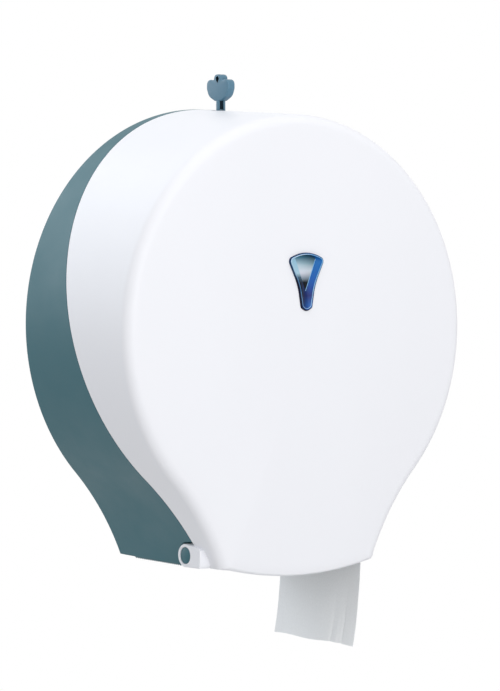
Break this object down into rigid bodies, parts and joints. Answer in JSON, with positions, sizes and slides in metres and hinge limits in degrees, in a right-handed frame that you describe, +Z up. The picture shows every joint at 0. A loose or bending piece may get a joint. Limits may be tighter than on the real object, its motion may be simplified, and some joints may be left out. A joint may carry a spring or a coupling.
{
  "type": "jumbo toilet roll dispenser",
  "caption": "Wall-hung jumbo toilet roll dispenser with a round casing, drop-down white cover, key lock, level window, toothed tear edges and a roll on a spindle.",
  "frame": {"origin": "on the roll's axis, in the plane of the wall behind the back plate", "axes": "+Z up, -Y out of the wall towards the user, +X to the right seen from the front"},
  "size_m": [0.3356, 0.1358, 0.4485],
  "materials": {
    "base_plastic": "satin moulded ABS, blue grey",
    "cover_plastic": "glossy moulded ABS, white",
    "window_plastic": "translucent blue, polished",
    "steel": "zinc plated",
    "tissue": "soft two-ply tissue",
    "card": "grey-brown rolled cardboard"
  },
  "bodies": {
    "housing": {"rear_base": "base_plastic", "tear_strip_left": "base_plastic", "tear_strip_right": "base_plastic", "strip_screws": "steel", "hinge_pin_left": "base_plastic", "hinge_pin_right": "base_plastic", "roll_spindle": "cover_plastic", "spindle_screws": "steel", "brake_washer": "steel", "hub_cap": "base_plastic", "hub_cap_screw": "steel", "strike_plate": "steel", "strike_screws": "steel", "paper_tail": "tissue"},
    "cover": {"front_cover": "cover_plastic", "level_window": "window_plastic", "lock_sleeve": "base_plastic", "lock_screws": "steel"},
    "lock": {"lock_rotor": "base_plastic", "lock_cam": "steel", "cam_screw": "steel", "key": "base_plastic"},
    "roll": {"roll_hub": "base_plastic", "cardboard_core": "card", "paper_roll": "tissue"}
  },
  "joints": [
    {"name": "cover_hinge", "type": "hinge", "parent": "housing", "child": "cover", "pos_m": [0, -0.094, -0.176], "axis": [1, 0, 0], "range_deg": [0, 90], "deforming": ["paper_tail"]},
    {"name": "lock_turn", "type": "hinge", "parent": "cover", "child": "lock", "pos_m": [0, -0.0274, 0.16], "axis": [0, 0, 1], "range_deg": [0, 90]},
    {"name": "roll_spin", "type": "hinge", "parent": "housing", "child": "roll", "pos_m": [0, -0.068, 0], "axis": [0, 1, 0], "continuous": true}
  ]
}
